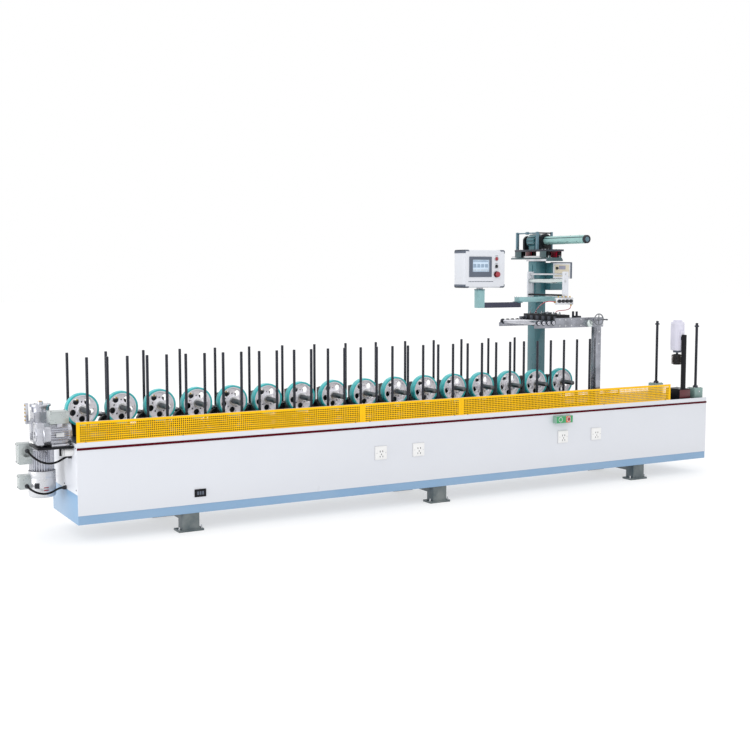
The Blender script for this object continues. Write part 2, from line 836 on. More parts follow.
def hole_sheet(x0, x1, z0, z1, y_front, y_back, rows):
    """Closed sheet with a grid of round holes inside a solid border."""
    columns = int((x1 - x0 - 2 * SOLID_EDGE) / HOLE_PITCH)
    xs = [x0] + [x0 + SOLID_EDGE + (x1 - x0 - 2 * SOLID_EDGE) * i / columns
                 for i in range(columns + 1)] + [x1]
    margin = (z1 - z0 - rows * HOLE_PITCH) / 2
    zs = [z0] + [z0 + margin + HOLE_PITCH * j for j in range(rows + 1)] + [z1]
    nx, nz = len(xs), len(zs)
    verts, faces = [], []
    for y in (y_front, y_back):
        verts += [(x, y, z) for z in zs for x in xs]
    back = nx * nz

    def at(i, j, side):
        return side * back + j * nx + i

    def sided(face, side):
        faces.append(face if side == 0 else tuple(reversed(face)))

    for j in range(nz - 1):
        for i in range(nx - 1):
            cx, cz = (xs[i] + xs[i + 1]) / 2, (zs[j] + zs[j + 1]) / 2
            inside = 0 < i < nx - 2 and 0 < j < nz - 2
            if not inside:
                for side in (0, 1):
                    sided((at(i, j, side), at(i + 1, j, side), at(i + 1, j + 1, side),
                           at(i, j + 1, side)), side)
                continue
            rings = []
            for y in (y_front, y_back):
                rings.append(len(verts))
                verts.extend((cx + HOLE_R * math.cos(a), y, cz + HOLE_R * math.sin(a))
                             for a in OCTAGON)
            for side, o in enumerate(rings):
                bl, br = at(i, j, side), at(i + 1, j, side)
                tr, tl = at(i + 1, j + 1, side), at(i, j + 1, side)
                for face in ((br, tr, o, o + 7), (tr, tl, o + 2, o + 1), (tl, bl, o + 4, o + 3),
                             (bl, br, o + 6, o + 5), (tr, o + 1, o), (tl, o + 3, o + 2),
                             (bl, o + 5, o + 4), (br, o + 7, o + 6)):
                    sided(face, side)
            for k in range(8):
                m = (k + 1) % 8
                faces.append((rings[0] + k, rings[0] + m, rings[1] + m, rings[1] + k))
    for i in range(nx - 1):
        faces.append((at(i, 0, 0), at(i, 0, 1), at(i + 1, 0, 1), at(i + 1, 0, 0)))
        faces.append((at(i, nz - 1, 0), at(i + 1, nz - 1, 0), at(i + 1, nz - 1, 1),
                      at(i, nz - 1, 1)))
    for j in range(nz - 1):
        faces.append((at(0, j, 0), at(0, j + 1, 0), at(0, j + 1, 1), at(0, j, 1)))
        faces.append((at(nx - 1, j, 0), at(nx - 1, j, 1), at(nx - 1, j + 1, 1),
                      at(nx - 1, j + 1, 0)))
    return verts, faces


def guards():
    """Front and rear guards: each section is a perforated sheet with a lip and a foot flange."""
    edges = [-HALF_L, *GUARD_JOINTS, GUARD_END]
    notch = (COLUMN_X - 60, COLUMN_X + 60)
    hidden = ("guard_panels",)
    for side, label, top, rows in ((-1, "front", GUARD_TOP, 8), (1, "rear", REAR_GUARD_TOP, 2)):
        lips, screws = Shape(), Shape()
        for index, (x0, x1) in enumerate(zip(edges, edges[1:])):
            x0, x1 = x0 + 0.5, x1 - 0.5
            y_out, y_in = side * INNER_D, side * (INNER_D - GUARD_T)
            front, rear = (y_out, y_in) if side < 0 else (y_in, y_out)
            verts, faces = hole_sheet(x0, x1, DECK_Z, top, front, rear, rows)
            data = bpy.data.meshes.new(f"guard_{label}_{index + 1}")
            data.from_pydata([(a / 1000, b / 1000, c / 1000) for a, b, c in verts], [], faces)
            data.validate()
            data.materials.append(guard_yellow())
            data.materials.append(guard_edge())
            for poly in data.polygons:
                in_hole = poly.area < HOLE_R * GUARD_T * 1e-6 and abs(poly.normal.y) < 0.5
                poly.material_index = int(in_hole or side > 0 > poly.normal.y + 0.5)
            put(f"guard_{label}_{index + 1}", data, None, replaces=hidden)
            cuts = [(x0, x1)]
            if side > 0 and x0 < notch[0] < x1:
                cuts = [(x0, notch[0]), (notch[1], x1)]
            for a, b in cuts:
                y0, y1 = sorted((side * (INNER_D - 16), side * (INNER_D - GUARD_T)))
                lips.box((a, y0, top - 2), (b, y1, top), 0.6)
                y0, y1 = sorted((side * (INNER_D - 20), side * (INNER_D - GUARD_T)))
                lips.box((a, y0, DECK_Z), (b, y1, DECK_Z + 2.5), 0.6)
            count = max(2, round((x1 - x0) / 560))
            for k in range(count):
                x = x0 + 60 + (x1 - x0 - 120) * k / (count - 1)
                screws.screw("Y", (x, y_out, DECK_Z + 8), 6, side)
        piece(f"guard_lips_{label}", lips, guard_lip() if side < 0 else guard_edge())
        piece(f"guard_screws_{label}", screws, dark_steel())


# ---------------------------------------------------------------- guide posts


def guide_posts():
    """Slotted rails with posts, each held by a nut under and a collar above."""
    x0 = -2701
    front = [x0 + i * PITCH / 2 for i in range(32)]
    rear = [x0 + i * PITCH for i in range(15)]
    rail_top = DECK_Z + 30
    rails, posts, nuts = Shape(), Shape(), Shape()
    for y, spots, end in ((-POST_Y, front, front[-1] + 26), (POST_Y, rear, 1270)):
        for offset in (-20, 4.5):
            rails.box((x0 - 60, y + offset, DECK_Z), (end, y + offset + 15.5, rail_top), 1.2)
        rails.box((x0 - 60, y - 6, DECK_Z), (end, y + 6, rail_top - 9), 0.8)
        for x in spots:
            posts.lathe([(0, 0), (10, 0), (10, 486), (9.4, 486.5), (9.4, 489), (10, 489.5),
                         (10, 526), (8, 529.5), (0, 530)], (x, y, rail_top), "Z", 20)
            nuts.lathe([(0, 0), (20, 0), (20, 3), (0, 3)], (x, y, rail_top), "Z", 20)
            nuts.lathe([(0, 3), (16, 3), (17, 4), (17, 13), (16, 14), (0, 14)],
                       (x, y, rail_top), "Z", 6)
            nuts.lathe([(10, 40), (17, 40), (18, 41), (18, 54), (17, 55), (10, 55)],
                       (x, y, rail_top), "Z", 20)
    piece("post_rails", rails, black_paint(), replaces=("guide_posts",))
    piece("guide_post_rods", posts, post_steel(), replaces=("guide_posts",))
    piece("guide_post_nuts", nuts, dark_steel(), replaces=("guide_posts",))


# ---------------------------------------------------------------- feed drive


def gearboxes():
    """Black cast housings with ribs, bearing caps, bolts, an oil plug and a sight glass."""
    softened("worm_gearboxes", "gearbox_housings", cast_black(), 2.5)
    caps, bolts, plugs = Shape(), Shape(), Shape()
    rear_z = 723
    lid_low, lid_top = 895, 899
    for i in range(WHEELS - 2):
        x = WHEEL_X0 + (i + 1) * PITCH - 45
        caps.bar("Y", 163, 169, (x, rear_z), 34, 2, 32)
        bolts.bolt_circle("Y", 168, (x, rear_z), 46, 4, sign=-1)
    for i in range(WHEELS):
        x = WHEEL_X0 + i * PITCH
        y0, y1 = GEAR_Y - 50, GEAR_Y + 50
        for y, sign in ((y0, -1), (y1, 1)):
            a, b = sorted((y, y + sign * 5))
            caps.ring("Y", a, b, (x, WHEEL_Z), AXLE_R + 0.6, 40, 1)
            bolts.bolt_circle("Y", y + sign * 5, (x, WHEEL_Z), 33, 4, sign=sign)
        for sign in (-1, 1):
            a, b = sorted((x + sign * 55, x + sign * 59))
            caps.ring("X", a, b, (GEAR_Y, LINE_Z), 10.6, 28, 1)
            bolts.bolt_circle("X", x + sign * 59, (GEAR_Y, LINE_Z), 22, 3, sign=sign)
            bolts.bolt_grid("Z", DECK_Z + 14, (x + sign * 61.5,), (y0 + 14, y1 - 14), 5)
        caps.box((x - 46, y0 + 8, lid_low), (x + 46, y1 - 8, lid_top), 1.5)
        bolts.bolt_grid("Z", lid_top, (x - 36, x + 36), (y0 + 18, y1 - 18), 4)
        plugs.lathe([(0, 0), (9, 0), (9, 4), (6, 5), (6, 9), (5, 11), (0, 11)],
                    (x, GEAR_Y, lid_top), "Z", 16)
        plugs.bolt("Y", (x - 34, y1, 742), 6, 1)
    piece("gearbox_caps", caps, cast_black())
    piece("gearbox_bolts", bolts, dark_steel())
    piece("gearbox_plugs", plugs, brass_plain())
    softened("line_shaft", "line_shaft_turned", turned_steel(), 1, "line_shaft")


def wheel_meshes():
    """Disc, tyre and axle about the wheel's own centre, shared by all the wheels."""
    disc = None
    axle = None
    for part in islands(clean_copy("feed_wheel_01")):
        radius = max(math.hypot(v.co.x - WHEEL_X0 / 1000, v.co.z - WHEEL_Z / 1000)
                     for v in part.verts)
        reach = max(v.co.y for v in part.verts)
        if reach > 0.1:
            axle = part
        elif radius < 0.1005:
            disc = part
        else:
            part.free()
    for part in (disc, axle):
        bmesh.ops.translate(part, vec=(-WHEEL_X0 / 1000, 0, -WHEEL_Z / 1000), verts=part.verts)
    tyre = Shape()
    half, outer = 26, (FIRST_HIGH[2] - FIRST_LOW[2]) / 2
    tyre.lathe([(DISC_R + 0.1, -half + 3), (DISC_R + 2, -half), (outer - 3, -half),
                (outer - 0.8, -half + 1), (outer, -half + 3), (outer, -9), (outer - 0.8, -8),
                (outer - 0.8, 8), (outer, 9), (outer, half - 3), (outer - 0.8, half - 1),
                (outer - 3, half), (DISC_R + 2, half), (DISC_R + 0.1, half - 3),
                (DISC_R + 0.1, -half + 3)], (0, 0, 0), "Y", 96)
    hub = Shape()
    hub.lathe([(0, -40), (9, -40), (10, -39), (10, -33), (0, -33)], (0, -6, 0), "Y", 6)
    hub.ring("Y", -33, -25, (0, 0), AXLE_R + 0.4, 30, 1)
    hub.bolt_circle("Y", -24.2, (0, 0), 27.5, 3.4, 5, 0, -1)
    hub.bolt_circle("Y", -8.6, (0, 0), 78, 3.6, 5, 0, -1)
    return (rounded(disc, "wheel_disc", 1.2), tyre.mesh("wheel_tyre"),
            rounded(axle, "wheel_axle", 1), hub.mesh("wheel_hub"))


def feed_wheels():
    """Every wheel is four pieces that share their meshes and ride on its own body."""
    disc, tyre, axle, hub = wheel_meshes()
    for i in range(WHEELS):
        number = f"{i + 1:02d}"
        body = f"feed_wheel_{number}"
        at = (WHEEL_X0 + i * PITCH, 0, WHEEL_Z)
        put(f"wheel_disc_{number}", disc, wheel_cast(), body, (body,), at)
        put(f"wheel_tyre_{number}", tyre, tyre_pu(), body, (body,), at)
        put(f"wheel_axle_{number}", axle, axle_steel(), body, (body,), at)
        put(f"wheel_hub_{number}", hub, bright_steel(), body, (body,), at)


cabinet()
rear_covers()
end_cover_screws()
levelling_bolts()
guards()
guide_posts()
gearboxes()
feed_wheels()


# ---------------------------------------------------------------- fittings on the front cover


def pin_slots(shape, cx, y, cz):
    """Slots of a flat two and three pin socket face, sunk look from small dark pads."""
    for dx, dz, w, h in ((-11, 12, 6, 13), (11, 12, 6, 13), (0, -10, 5, 12), (-12, -27, 5, 12),
                         (12, -27, 5, 12)):
        shape.box((cx + dx - w / 2, y - 0.5, cz + dz - h / 2),
                  (cx + dx + w / 2, y + 1, cz + dz + h / 2), 0.2, 1)


def front_fittings():
    """Four mains sockets and the main switch on the front cover."""
    plates, faces, slots, screws, seams = Shape(), Shape(), Shape(), Shape(), Shape()
    y = -HALF_D
    cz = 430
    for cx in (-530, -200, 1190, 1540):
        outline = (arc(cx + 43, cz + 43, 7, 0, 90) + arc(cx - 43, cz + 43, 7, 90, 180)
                   + arc(cx - 43, cz - 43, 7, 180, 270) + arc(cx + 43, cz - 43, 7, 270, 360))
        plates.prism(outline, y - 9, y - 1.5, "Y")
        seams.box((cx - 51, y - 1.6, cz - 51), (cx + 51, y, cz + 51), 0.6, 1)
        plates.box((cx - 46, y - 12, cz - 46), (cx + 46, y - 8, cz + 46), 3, 3)
        faces.box((cx - 30, y - 14, cz - 40), (cx + 30, y - 11, cz + 40), 1.5, 3)
        pin_slots(slots, cx, y - 14, cz)
        for dx in (-38, 38):
            screws.screw("Y", (cx + dx, y - 12, cz), 3, -1)
    for name, shape, mat, slot in (("socket_plates", plates, white_moulded(), "white_plastic"),
                                   ("socket_seams", seams, grey_moulded(), "grey_plastic"),
                                   ("socket_faces", faces, white_moulded(), "white_plastic"),
                                   ("socket_slots", slots, dark_moulded(), "black_plastic")):
        piece(name, shape, mat, replaces=("power_sockets",))
    piece("socket_screws", screws, bright_steel())
    plate, toggles = Shape(), Shape()
    switch_x = -1958
    plate.box((switch_x - 42, y - 6, 236), (switch_x + 42, y, 290), 2, 3)
    for x in (switch_x - 18, switch_x, switch_x + 18):
        toggles.box((x - 6, y - 7.2, 251), (x + 6, y - 5.6, 275), 1)
    for name, shape, mat, slot in (
            ("main_switch_plate", plate, black_paint(), "black_paint"),
            ("main_switch_toggles", toggles, slate_moulded(), "grey_plastic")):
        piece(name, shape, mat, replaces=("power_sockets",))


def start_stop_station():
    """Box with a green and an orange field, two ringed buttons standing out of it."""
    face = corners("switch_box")[0][1]
    softened("switch_box", "start_stop_box", station_case(), 2.5)
    bezels, green, orange = Shape(), Shape(), Shape()
    for x in (1130, 1215):
        bezels.ring("Y", face - 2, face, (x, 578), 15.6, 21, 0.6)
    for shape, x0, x1 in ((green, 1092, 1184), (orange, 1188, 1232), (green, 1236, 1253)):
        shape.box((x0, face - 1.6, 552), (x1, face - 0.2, 604), 1.5)
    piece("station_green_field", green, button_green())
    piece("station_orange_field", orange, button_orange())
    piece("station_bezels", bezels, bright_steel())
    for node, mat, slot in (("start_button", button_green(), "green_plastic"),
                            ("stop_button", button_red(), "orange_plastic")):
        low, high = corners(node)
        x, z = (low[0] + high[0]) / 2, (low[2] + high[2]) / 2
        r = (high[0] - low[0]) / 2
        cap = Shape()
        cap.lathe([(0, 0), (6, 0.2), (r - 4, 1.2), (r - 1.2, 3), (r, 5.5), (r, 19), (r - 1, 20),
                   (0, 20)], (x, low[1], z), "Y", 36)
        piece(node + "_cap", cap, mat, node, (node,))


front_fittings()
start_stop_station()


# ---------------------------------------------------------------- drives at the outfeed end


def main_drive():
    """Gearbox with ribs, flanges, plugs and torque arm shims, and the motor under it."""
    softened("drive_gearbox", "drive_gearbox_case", silver_paint(), 5)
    softened("main_motor", "main_motor_body", silver_paint(), 1)
    x, y = MAIN_X, MAIN_Y
    bolts, ribs, plugs, plates = Shape(), Shape(), Shape(), Shape()
    rib_low, rib_top, bearing_z = 652, 770, 716
    bolts.bolt_circle("Z", 893, (x, y), 62, 5, 8, 22.5)
    for flange_z, sign in ((602, 1), (588, -1)):
        bolts.bolt_grid("Z", flange_z, (x - 60, x + 60), (y - 60, y + 60), 6, sign)
    for d in (-48, -16, 16, 48):
        ribs.box((x - 60, y + d - 3, rib_low), (x - 54, y + d + 3, rib_top), 1.5)
        ribs.box((x + d * 0.8 - 3, y - 75, rib_low), (x + d * 0.8 + 3, y - 68, rib_top), 1.5)
    ribs.ring("Y", y - 78, y - 68, (x, bearing_z), 26, 46, 1.5)
    bolts.bolt_circle("Y", y - 78, (x, bearing_z), 36, 4, 6, 0, -1)
    plugs.bolt("Y", (x + 38, y - 70, 664), 8, -1)
    plugs.lathe([(0, 0), (9, 0), (9, 8), (6, 10), (6, 14), (0, 15)], (x - 30, y - 40, 846), "Z", 20)
    plugs.ring("Z", 912, 915, (x, y), 4, 14, 1)
    for z in (790, 815, 840, 865, 890):
        plates.box((x - 104, y - 16, z - 5), (x - 99, y + 16, z + 5), 1)
    piece("drive_bolts", bolts, bright_steel())
    piece("drive_ribs", ribs, silver_paint())
    piece("drive_plugs", plugs, brass_plain())
    piece("torque_arm_shims", plates, brass_plain())


def motor_fan_cowl():
    """Deep drawn cowl with an inlet grille, screws, a dark plate and two red flow marks."""
    low, high = corners("fan_cowl")
    x, y = MAIN_X, MAIN_Y
    r = (high[0] - low[0]) / 2
    deep = high[2] - low[2]
    shell = Shape()
    shell.lathe([(r - 4, deep), (r - 0.5, deep), (r, deep - 1), (r, 140), (r - 1.2, 137),
                 (r - 1.2, 133), (r, 130), (r, 22), (r - 4, 9), (r - 14, 2), (r - 24, 0), (60, 0),
                 (60, 3), (r - 24, 4), (r - 15, 6), (r - 8, 12), (r - 4, 24), (r - 4, deep)],
                (x, y, low[2]), "Z", 64)
    piece("cowl_shell", shell, cowl_paint(), replaces=("fan_cowl",))
    grille = Shape()
    for ring_r in (14, 26, 38, 50, 61):
        grille.ring("Z", low[2] + 0.5, low[2] + 3, (x, y), ring_r - 1.3, ring_r + 1.3, 0.5, 40)
    grille.spokes("Z", (x, y), ((5, -2), (61, -2), (61, 2), (5, 2)), low[2] + 1, low[2] + 3.5,
                  6, 30)
    grille.lathe([(0, 0.5), (7, 0.5), (8, 1.5), (8, 3.5), (0, 3.5)], (x, y, low[2]), "Z", 24)
    piece("cowl_grille", grille, dark_steel())
    screws = Shape()
    for k in range(4):
        t = math.radians(45 + 90 * k)
        head = Shape()
        head.bolt("X", (r - 0.3, 0, high[2] - 14), 4.5)
        bmesh.ops.rotate(head.bm, verts=head.bm.verts, cent=(0, 0, 0),
                         matrix=Matrix.Rotation(t, 3, "Z"))
        bmesh.ops.translate(head.bm, vec=(x, y, 0), verts=head.bm.verts)
        merge(screws, head)
    piece("cowl_screws", screws, bright_steel())
    curved_mark("cowl_plate", 224, 246, 335, 372, r + 0.6, dark_moulded())
    for k, z in enumerate((318, 336)):
        curved_mark(f"cowl_flow_mark_{k + 1}", 264, 284, z, z + 7, r + 0.6, button_red())


def curved_mark(name, a0, a1, z0, z1, r, mat):
    """Thin plate bent round the cowl between two angles."""
    mark = Shape()
    inner = arc(MAIN_X, MAIN_Y, r - 0.8, a1, a0, 10)
    outer = arc(MAIN_X, MAIN_Y, r, a0, a1, 10)
    mark.prism(outer + inner, z0, z1, "Z")
    piece(name, mark, mat)


def cable_gland(shape, axis, at):
    """Hexagon gland facing down its axis, with a domed nut and a tapered sleeve."""
    for outline, segs in (
            (((0, 0), (15, 0), (16, 1), (16, 6), (15, 7), (0, 7)), 6),
            (((0, 7), (13, 7), (14, 9), (14, 16), (12, 20), (9, 22), (8, 30), (7.4, 31),
              (0, 31)), 24)):
        shape.lathe([(a, -b) for a, b in outline], at, axis, segs)


def motor_boxes():
    """Terminal boxes with lids and corner screws, and the glands at both ends of each cable."""
    glands_at = (((-2823, -210, 540), (-2799, -20, 590)), ((-2823, -60, 310), (-2799, -20, 350)),
                 ((-3055, -6, 575), (-3025, 13.8, 605)), ((-3060, 4, 338), (-3030, 23.8, 366)))
    softened("terminal_boxes", "terminal_box_bodies", terminal_green(), 2.5,
             zones=[(1, a, b) for a, b in glands_at], extra=(dark_moulded(),))
    lids, screws, glands = Shape(), Shape(), Shape()
    for y0, y1, z0, z1, x in ((15, 105, 500, 640, -3092), (25, 95, 330, 425, -3090)):
        lids.box((x - 4, y0 + 2, z0 + 2), (x + 3, y1 - 2, z1 - 2), 3, 3)
        screws.screw_grid("X", x - 4, (y0 + 10, y1 - 10), (z0 + 10, z1 - 10), 4, -1)
    lids.lathe([(0, 0), (38, 0), (40, 2), (40, 5), (36, 9), (0, 10)], (-3040, 15, 585), "Y", 40)
    top = AUX_Z + 148
    lids.box((-2946, AUX_Y - 50, top - 4), (-2820, AUX_Y + 50, top + 4), 3, 3)
    screws.screw_grid("Z", top + 4, (-2936, -2830), (AUX_Y - 40, AUX_Y + 40), 4)
    for axis, spot in (("X", (-2800, -190, 564)), ("X", (-2800, -40, 332)),
                       ("Y", (-3040, 15, 590)), ("Y", (-3045, 25, 352))):
        cable_gland(glands, axis, spot)
    piece("terminal_box_lids", lids, terminal_green())
    piece("terminal_box_screws", screws, dark_steel())
    piece("cable_glands", glands, dark_moulded())


def auxiliary_drive():
    """The second motor with its bell, bolts and a blank type plate."""
    softened("aux_motor", "aux_motor_body", silver_paint(), 1.2)
    y, z = AUX_Y, AUX_Z
    bolts, bell, plates = Shape(), Shape(), Shape()
    bell.lathe([(58, 0), (77, 0), (80, 3), (80, 9), (74, 12), (68, 30), (64, 44), (58, 44)],
               (-2994, y, z), "X", 56)
    bolts.bolt_circle("X", -2982, (y, z), 73, 4.5, 6, 30)
    bolts.bolt_circle("X", -2806, (y, z), 54, 4)
    bolts.bolt_grid("Z", 658, (-2932, -2834), (y - 50, y + 50), 5)
    bolts.bolt_grid("X", -3030, (y - 46, y + 46), (z - 46, z + 66), 6, -1)
    bell.ring("X", -3034, -3030, (y, z), 22, 44, 1.5)
    plates.box((-2912, y - 69, z - 14), (-2860, y - 66, z + 14), 0.6)
    piece("aux_motor_bell", bell, silver_paint())
    piece("aux_motor_bolts", bolts, bright_steel())
    piece("aux_motor_plate", plates, bright_steel())


def shelf_and_oil_cup():
    """Shelf of the second motor, and the white oil cup on the bed's end below it."""
    cup = (1, (-2870, AUX_Y - 70, 572), (-2801, AUX_Y - 14, 628))
    softened("motor_shelf", "shelf_and_cup", black_paint(), 1.5,
             zones=(cup,), extra=(white_moulded(),))
    trim, bolts = Shape(), Shape()
    for x, outline in ((-2868, [(27.2, 0), (29, 1), (29, 7), (27.2, 8)]),
                       (-2871, [(0, 0), (20, 0), (21, 1), (21, 3), (0, 3)])):
        trim.lathe(outline, (x, AUX_Y - 42, 600), "X", 40)
    bolts.bolt_grid("Z", 643, (-2815,), (-250, -160, -60), 6)
    piece("oil_cup_rims", trim, grey_moulded())
    piece("shelf_bolts", bolts, bright_steel())


main_drive()
motor_fan_cowl()
motor_boxes()
auxiliary_drive()
shelf_and_oil_cup()


# ---------------------------------------------------------------- column and operator panel


def column_and_arm():
    """Column, the arm that carries the panel, and the clamps and bolts between them."""
    softened("column", "column_post", teal_paint(), 4)
    softened("hmi_arm", "panel_arm", pale_teal(), 3,
             zones=((1, (561, -101, 1486), (926, -49, 1531)),), extra=(navy_paint(),))
    bolts, trim = Shape(), Shape()
    bolts.bolt_grid("Z", DECK_Z + 16, (COLUMN_X - 66, COLUMN_X + 66), (182, 204, 290), 8)
    front = COLUMN_LOW[1] + 48
    trim.box((COLUMN_X - 50, front - 8, 1514), (COLUMN_X + 30, front, 1586), 2)
    bolts.bolt_grid("Y", front - 8, (COLUMN_X - 44, COLUMN_X + 24), (1521, 1579), 5, -1)
    trim.box((886, -116, 1524), (930, -34, 1534), 2)
    bolts.bolt_grid("Z", 1570, (897, 919), (-104, -46), 5)
    trim.ring("Z", 1630, 1637, ARM_POST, 27, 44, 1.5)
    bolts.bolt_circle("Z", 1637, ARM_POST, 36, 3.6)
    trim.box((COLUMN_X - 58, 262, 1730), (COLUMN_X - 54, 272, 1840), 1)
    piece("arm_trim", trim, teal_paint())
    piece("arm_bolts", bolts, bright_steel())


CASE_ROUND = 15
CASE_Z0 = 1650


def panel_case(low, high):
    """The panel's case: its twelve outer edges are rounded wide, all other edges finely."""
    bm = clean_copy("hmi_box")
    wide = []
    for edge in bm.edges:
        mid = (edge.verts[0].co + edge.verts[1].co) * 500
        sides = sum(min(abs(m - a), abs(m - b)) < 0.5 for m, a, b in zip(mid, low, high))
        if sides == 2:
            wide.append(edge)
    bmesh.ops.bevel(bm, geom=wide, offset=CASE_ROUND / 1000, segments=5, profile=0.5,
                    affect="EDGES", clamp_overlap=False)
    data = rounded(bm, "panel_case", 1.2)
    put("panel_case", data, white_sheet(), "hmi", ("hmi_box",))


def corner_cap(low, high, spans):
    """The stretch of a rounded box that lies between two heights and two widths."""
    part = Shape()
    part.box(low, high, CASE_ROUND, 5)
    for axis, (start, end) in spans:
        for place, sign in ((start, -1), (end, 1)):
            normal = Vector((0, 0, 0))
            normal[axis] = sign
            spot = normal * sign * place
            everything = part.bm.verts[:] + part.bm.edges[:] + part.bm.faces[:]
            cut = bmesh.ops.bisect_plane(part.bm, geom=everything, plane_co=spot,
                                         plane_no=normal, clear_outer=True)
            rim = [g for g in cut["geom_cut"] if isinstance(g, bmesh.types.BMEdge)]
            if rim:
                bmesh.ops.contextual_create(part.bm, geom=rim)
    return part


def operator_panel():
    """Panel case with corner caps, screen, button rings, blank label strips and its back."""
    low, high = corners("hmi_box")
    face = low[1]
    z0 = CASE_Z0
    panel_case((low[0], low[1], z0), high)
    caps, bezel, screen = Shape(), Shape(), Shape()
    outer_low = (low[0] - 1.5, face - 1.5, z0 - 1.5)
    outer_high = tuple(v + 1.5 for v in high)
    for width, height in ((46, 11), (12, 26)):
        for x_span in ((outer_low[0] - 1, low[0] + width), (high[0] - width, outer_high[0] + 1)):
            for z_span in ((outer_low[2] - 1, z0 + height), (high[2] - height, outer_high[2] + 1)):
                merge(caps, corner_cap(outer_low, outer_high, ((0, x_span), (2, z_span))))
    piece("panel_corner_caps", caps, slate_moulded(), "hmi")
    bx0, bx1, bz0, bz1 = 377, 592, 1735, 1896
    sx0, sx1, sz0, sz1 = 410, 569, 1776, 1872
    for a, b in (((bx0, face - 5, bz0), (sx0, face, bz1)), ((sx1, face - 5, bz0), (bx1, face, bz1)),
                 ((sx0 - 1, face - 5, bz0), (sx1 + 1, face, sz0)),
                 ((sx0 - 1, face - 5, sz1), (sx1 + 1, face, bz1))):
        bezel.box(a, b, 1.6, 3)
    piece("screen_bezel", bezel, slate_moulded(), "hmi")
    screen.box((sx0 + 0.5, face + 1.5, sz0 + 0.5), (sx1 - 0.5, face + 3.5, sz1 - 0.5), 0.6)
    piece("screen_glass_pane", screen, screen_glass(), "hmi")
    tiles, keys = Shape(), Shape()
    tiles.box((sx0 + 6, face + 0.9, sz1 - 16), (sx1 - 6, face + 1.8, sz1 - 7), 0.3, 1)
    for i in range(4):
        x = sx0 + 8 + i * 37
        keys.box((x, face + 0.9, sz0 + 8), (x + 29, face + 1.8, sz0 + 20), 0.3, 1)
        tiles.box((x, face + 0.9, sz0 + 34), (x + 29, face + 1.8, sz0 + 62), 0.3, 1)
    piece("screen_tiles", tiles, plain_emit("tile_blue", (0.24, 0.33, 0.44), 0.2), "hmi")
    piece("screen_keys", keys, plain_emit("tile_grey", (0.44, 0.51, 0.58), 0.2), "hmi")
    rings, labels, stop_field = Shape(), Shape(), Shape()
    for z, r in ((BUTTON_Z, 14.5), (SELECTOR_Z, 12.5)):
        rings.ring("Y", face - 3.5, face, (BUTTON_X, z), r + 0.2, r + 5, 1)
    stop_field.ring("Y", face - 3, face, (BUTTON_X, STOP_Z), 13, 25, 1)
    for z in (1902, 1842):
        labels.box((BUTTON_X - 13, face - 1.2, z), (BUTTON_X + 13, face - 0.1, z + 3), 0.3, 1)
    for k in range(16):
        labels.box((372 + 15 * k, face - 1.2, 1696), (383 + 15 * k, face - 0.1, 1702), 0.3, 1)
    piece("panel_button_rings", rings, bright_steel(), "hmi")
    piece("stop_button_field", stop_field, maroon_paint(), "hmi")
    piece("panel_label_strips", labels, slate_moulded(), "hmi")
    back, vents = Shape(), Shape()
    back.box((low[0] + 14, high[1], z0 + 14), (high[0] - 14, high[1] + 3, high[2] - 14), 2)
    vents.screw_grid("Y", high[1] + 3, (low[0] + 24, high[0] - 24), (z0 + 24, high[2] - 24), 4)
    for k in range(7):
        x = 560 + k * 14
        vents.box((x, high[1] + 2.5, 1850), (x + 6, high[1] + 4.2, 1905), 0.8, 1)
    piece("panel_back_plate", back, white_sheet(), "hmi")
    piece("panel_back_details", vents, dark_steel(), "hmi")


def panel_controls():
    """The push button, the emergency stop and the selector, each on its own body."""
    x = BUTTON_X
    low = corners("hmi_button")[0]
    cap = Shape()
    cap.lathe([(0, 0), (5, 0.3), (11, 1.4), (13.4, 3.4), (14, 6), (14, 20), (13, 21), (0, 21)],
              (x, low[1], BUTTON_Z), "Y", 40)
    piece("panel_button_cap", cap, button_red(), "hmi_button", ("hmi_button",))
    low = corners("e_stop")[0]
    mushroom = Shape()
    mushroom.lathe([(0, 0), (8, 0.4), (15, 1.8), (19.5, 4.2), (21.6, 7.5), (22, 10), (21, 12.6),
                    (17, 14), (12, 15), (12, 43), (11, 44), (0, 44)], (x, low[1], STOP_Z), "Y", 48)
    piece("emergency_stop_knob", mushroom, button_red(), "e_stop", ("e_stop",))
    low = corners("hmi_selector")[0]
    knob, mark = Shape(), Shape()
    z = SELECTOR_Z
    knob.lathe([(0, 10), (11, 10), (12, 11), (12, 36), (11, 37), (0, 37)], (x, low[1], z), "Y", 36)
    knob.box((x - 4, low[1], z - 12), (x + 4, low[1] + 11, z + 12), 1.8, 3)
    mark.box((x - 0.8, low[1] - 0.5, z + 2), (x + 0.8, low[1] + 1.5, z + 11), 0.3, 1)
    piece("selector_knob", knob, dark_moulded(), "hmi_selector",
          ("hmi_selector",))
    piece("selector_mark", mark, white_moulded(), "hmi_selector")


column_and_arm()
operator_panel()
panel_controls()


# ---------------------------------------------------------------- unwinder


def slide_base():
    """Base of the unwinder with two ground rails and the screws that hold them."""
    softened("slide_rails", "slide_base", dark_teal(), 1.2,
             zones=((1, (1290, 47, 1866), (1470, 322, 1883.8)),
                    (2, (1314, 47, 1896.5), (1336, 565, 1912)),
                    (2, (1430, 47, 1896.5), (1452, 565, 1912))),
             extra=(brushed_silver(), bright_steel()))
    screws = Shape()
    for x in RAILS_X:
        for k in range(9):
            screws.lathe([(0, 0), (4.4, 0), (4.4, 0.8), (2.2, 0.8), (2.2, 0.2), (0, 0.2)],
                         (x, 70 + k * 59, 1912), "Z", 12)
    screws.bolt_grid("Z", 1896, (1311, 1455), (90, 300), 4)
    screws.bolt_grid("Z", 1884, (1300, 1460), (70, 200, 310), 4.5)
    piece("rail_screws", screws, dark_steel())


